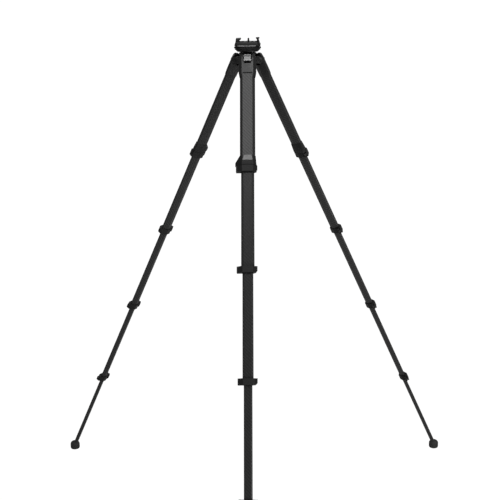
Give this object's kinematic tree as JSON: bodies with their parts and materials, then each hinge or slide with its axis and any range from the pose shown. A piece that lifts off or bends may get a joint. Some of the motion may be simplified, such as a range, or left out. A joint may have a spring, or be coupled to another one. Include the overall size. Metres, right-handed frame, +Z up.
{
  "type": "camera tripod",
  "caption": "Compact travel tripod with telescoping flip-lock legs, centre column and a low ball head with an open quick-release clamp.",
  "frame": {"origin": "middle of the bounding box's bottom face, on the floor that the feet stand on", "axes": "+Z up along the centre column; the front leg points along -Y; +X is to the right seen from the front leg"},
  "size_m": [1.1658, 1.0136, 1.3017],
  "materials": {
    "carbon": "woven carbon fibre under a satin clear coat",
    "anodised": "black anodised, bead blasted",
    "grey_cast": "grey anodised, satin",
    "plastic": "fine-grained glass-filled nylon",
    "rubber": "matt moulded rubber",
    "steel": "turned steel"
  },
  "bodies": {
    "hub": {"hub": "anodised"},
    "front_leg": {"front_yoke": "anodised", "front_tube_1": "carbon", "front_collar_1": "plastic"},
    "front_latch": {"front_angle_latch": "grey_cast"},
    "front_section_2": {"front_tube_2": "carbon", "front_collar_2": "plastic"},
    "front_section_3": {"front_tube_3": "carbon", "front_collar_3": "plastic"},
    "front_section_4": {"front_tube_4": "carbon", "front_collar_4": "plastic"},
    "front_section_5": {"front_tube_5": "carbon", "front_foot": "rubber"},
    "front_lever_1": {"front_lever_1": "plastic"},
    "front_lever_2": {"front_lever_2": "plastic"},
    "front_lever_3": {"front_lever_3": "plastic"},
    "front_lever_4": {"front_lever_4": "plastic"},
    "left_leg": {"left_yoke": "anodised", "left_tube_1": "carbon", "left_collar_1": "plastic"},
    "left_latch": {"left_angle_latch": "grey_cast"},
    "left_section_2": {"left_tube_2": "carbon", "left_collar_2": "plastic"},
    "left_section_3": {"left_tube_3": "carbon", "left_collar_3": "plastic"},
    "left_section_4": {"left_tube_4": "carbon", "left_collar_4": "plastic"},
    "left_section_5": {"left_tube_5": "carbon", "left_foot": "rubber"},
    "left_lever_1": {"left_lever_1": "plastic"},
    "left_lever_2": {"left_lever_2": "plastic"},
    "left_lever_3": {"left_lever_3": "plastic"},
    "left_lever_4": {"left_lever_4": "plastic"},
    "right_leg": {"right_yoke": "anodised", "right_tube_1": "carbon", "right_collar_1": "plastic"},
    "right_latch": {"right_angle_latch": "grey_cast"},
    "right_section_2": {"right_tube_2": "carbon", "right_collar_2": "plastic"},
    "right_section_3": {"right_tube_3": "carbon", "right_collar_3": "plastic"},
    "right_section_4": {"right_tube_4": "carbon", "right_collar_4": "plastic"},
    "right_section_5": {"right_tube_5": "carbon", "right_foot": "rubber"},
    "right_lever_1": {"right_lever_1": "plastic"},
    "right_lever_2": {"right_lever_2": "plastic"},
    "right_lever_3": {"right_lever_3": "plastic"},
    "right_lever_4": {"right_lever_4": "plastic"},
    "column": {"centre_column": "carbon", "head_base": "anodised"},
    "knob": {"column_knob": "rubber"},
    "hook": {"ballast_hook": "steel"},
    "pan": {"ball": "steel"},
    "head": {"ball_socket": "plastic", "clamp_body": "anodised"},
    "adjuster": {"adjusting_ring": "anodised"},
    "locker": {"lock_ring": "rubber"},
    "jaw": {"sliding_jaw": "anodised"},
    "stop": {"stop_pin": "steel"}
  },
  "joints": [
    {"name": "column_slide", "type": "slide", "parent": "hub", "child": "column", "axis": [0, 0, 1], "range_m": [0, 0.2]},
    {"name": "column_knob_turn", "type": "hinge", "parent": "hub", "child": "knob", "pos_m": [0, 0.20361, 1.23481], "axis": [0, 1, 0], "range_deg": [0, 540]},
    {"name": "hook_swivel", "type": "hinge", "parent": "column", "child": "hook", "pos_m": [0, 0.16411, 1.00431], "axis": [0, 0, 1], "continuous": true},
    {"name": "head_pan", "type": "hinge", "parent": "column", "child": "pan", "pos_m": [0, 0.16411, 1.26311], "axis": [0, 0, 1], "continuous": true},
    {"name": "head_tilt", "type": "hinge", "parent": "pan", "child": "head", "pos_m": [0, 0.16411, 1.27531], "axis": [0, 1, 0], "range_deg": [-4, 4]},
    {"name": "adjusting_ring_turn", "type": "hinge", "parent": "head", "child": "adjuster", "pos_m": [0, 0.16411, 1.26931], "axis": [0, 0, 1], "range_deg": [0, 90]},
    {"name": "lock_ring_turn", "type": "hinge", "parent": "head", "child": "locker", "pos_m": [0, 0.16411, 1.27631], "axis": [0, 0, 1], "range_deg": [0, 75]},
    {"name": "jaw_slide", "type": "slide", "parent": "head", "child": "jaw", "axis": [-1, 0, 0], "range_m": [0, 0.005]},
    {"name": "stop_pin_press", "type": "slide", "parent": "head", "child": "stop", "axis": [0, 0, -1], "range_m": [0, 0.004], "stiffness_N_per_m": 150, "springref_m": -0.004},
    {"name": "front_leg_swing", "type": "hinge", "parent": "hub", "child": "front_leg", "pos_m": [0, 0.14111, 1.24431], "axis": [-1, 0, 0], "range_deg": [-26.93, 34]},
    {"name": "front_latch_pull", "type": "hinge", "parent": "front_leg", "child": "front_latch", "pos_m": [0, 0.12809, 1.2571], "axis": [-1, 0, 0], "range_deg": [0, 25], "stiffness_Nm_per_rad": 0.05, "springref_deg": -14.32},
    {"name": "front_section_2_slide", "type": "slide", "parent": "front_leg", "child": "front_section_2", "axis": [0, 0.4529, 0.8916], "range_m": [0, 0.2375]},
    {"name": "front_lever_1_flip", "type": "hinge", "parent": "front_leg", "child": "front_lever_1", "pos_m": [-0.02615, 0.00631, 0.98668], "axis": [0, -0.4529, -0.8916], "range_deg": [0, 110]},
    {"name": "front_section_3_slide", "type": "slide", "parent": "front_section_2", "child": "front_section_3", "axis": [0, 0.4529, 0.8916], "range_m": [0, 0.2555]},
    {"name": "front_lever_2_flip", "type": "hinge", "parent": "front_section_2", "child": "front_lever_2", "pos_m": [-0.02415, -0.10918, 0.75933], "axis": [0, -0.4529, -0.8916], "range_deg": [0, 110]},
    {"name": "front_section_4_slide", "type": "slide", "parent": "front_section_3", "child": "front_section_4", "axis": [0, 0.4529, 0.8916], "range_m": [0, 0.263]},
    {"name": "front_lever_3_flip", "type": "hinge", "parent": "front_section_3", "child": "front_lever_3", "pos_m": [-0.02185, -0.23259, 0.51638], "axis": [0, -0.4529, -0.8916], "range_deg": [0, 110]},
    {"name": "front_section_5_slide", "type": "slide", "parent": "front_section_4", "child": "front_section_5", "axis": [0, 0.4529, 0.8916], "range_m": [0, 0.255]},
    {"name": "front_lever_4_flip", "type": "hinge", "parent": "front_section_4", "child": "front_lever_4", "pos_m": [-0.01975, -0.36054, 0.26451], "axis": [0, -0.4529, -0.8916], "range_deg": [0, 110]},
    {"name": "left_leg_swing", "type": "hinge", "parent": "hub", "child": "left_leg", "pos_m": [-0.01992, 0.17561, 1.24431], "axis": [0.5, 0.866, 0], "range_deg": [-26.93, 34]},
    {"name": "left_latch_pull", "type": "hinge", "parent": "left_leg", "child": "left_latch", "pos_m": [-0.0312, 0.18212, 1.2571], "axis": [0.5, 0.866, 0], "range_deg": [0, 25], "stiffness_Nm_per_rad": 0.05, "springref_deg": -14.32},
    {"name": "left_section_2_slide", "type": "slide", "parent": "left_leg", "child": "left_section_2", "axis": [0.3922, -0.2265, 0.8916], "range_m": [0, 0.2375]},
    {"name": "left_lever_1_flip", "type": "hinge", "parent": "left_leg", "child": "left_lever_1", "pos_m": [-0.12359, 0.26566, 0.98668], "axis": [-0.3922, 0.2265, -0.8916], "range_deg": [0, 110]},
    {"name": "left_section_3_slide", "type": "slide", "parent": "left_section_2", "child": "left_section_3", "axis": [0.3922, -0.2265, 0.8916], "range_m": [0, 0.2555]},
    {"name": "left_lever_2_flip", "type": "hinge", "parent": "left_section_2", "child": "left_lever_2", "pos_m": [-0.2246, 0.32167, 0.75933], "axis": [-0.3922, 0.2265, -0.8916], "range_deg": [0, 110]},
    {"name": "left_section_4_slide", "type": "slide", "parent": "left_section_3", "child": "left_section_4", "axis": [0.3922, -0.2265, 0.8916], "range_m": [0, 0.263]},
    {"name": "left_lever_3_flip", "type": "hinge", "parent": "left_section_3", "child": "left_lever_3", "pos_m": [-0.33263, 0.38139, 0.51638], "axis": [-0.3922, 0.2265, -0.8916], "range_deg": [0, 110]},
    {"name": "left_section_5_slide", "type": "slide", "parent": "left_section_4", "child": "left_section_5", "axis": [0.3922, -0.2265, 0.8916], "range_m": [0, 0.255]},
    {"name": "left_lever_4_flip", "type": "hinge", "parent": "left_section_4", "child": "left_lever_4", "pos_m": [-0.44449, 0.44354, 0.26451], "axis": [-0.3922, 0.2265, -0.8916], "range_deg": [0, 110]},
    {"name": "right_leg_swing", "type": "hinge", "parent": "hub", "child": "right_leg", "pos_m": [0.01992, 0.17561, 1.24431], "axis": [0.5, -0.866, 0], "range_deg": [-26.93, 34]},
    {"name": "right_latch_pull", "type": "hinge", "parent": "right_leg", "child": "right_latch", "pos_m": [0.0312, 0.18212, 1.2571], "axis": [0.5, -0.866, 0], "range_deg": [0, 25], "stiffness_Nm_per_rad": 0.05, "springref_deg": -14.32},
    {"name": "right_section_2_slide", "type": "slide", "parent": "right_leg", "child": "right_section_2", "axis": [-0.3922, -0.2265, 0.8916], "range_m": [0, 0.2375]},
    {"name": "right_lever_1_flip", "type": "hinge", "parent": "right_leg", "child": "right_lever_1", "pos_m": [0.14974, 0.22037, 0.98668], "axis": [0.3922, 0.2265, -0.8916], "range_deg": [0, 110]},
    {"name": "right_section_3_slide", "type": "slide", "parent": "right_section_2", "child": "right_section_3", "axis": [-0.3922, -0.2265, 0.8916], "range_m": [0, 0.2555]},
    {"name": "right_lever_2_flip", "type": "hinge", "parent": "right_section_2", "child": "right_lever_2", "pos_m": [0.24875, 0.27984, 0.75933], "axis": [0.3922, 0.2265, -0.8916], "range_deg": [0, 110]},
    {"name": "right_section_4_slide", "type": "slide", "parent": "right_section_3", "child": "right_section_4", "axis": [-0.3922, -0.2265, 0.8916], "range_m": [0, 0.263]},
    {"name": "right_lever_3_flip", "type": "hinge", "parent": "right_section_3", "child": "right_lever_3", "pos_m": [0.35448, 0.34354, 0.51638], "axis": [0.3922, 0.2265, -0.8916], "range_deg": [0, 110]},
    {"name": "right_section_5_slide", "type": "slide", "parent": "right_section_4", "child": "right_section_5", "axis": [-0.3922, -0.2265, 0.8916], "range_m": [0, 0.255]},
    {"name": "right_lever_4_flip", "type": "hinge", "parent": "right_section_4", "child": "right_lever_4", "pos_m": [0.46424, 0.40934, 0.26451], "axis": [0.3922, 0.2265, -0.8916], "range_deg": [0, 110]}
  ]
}
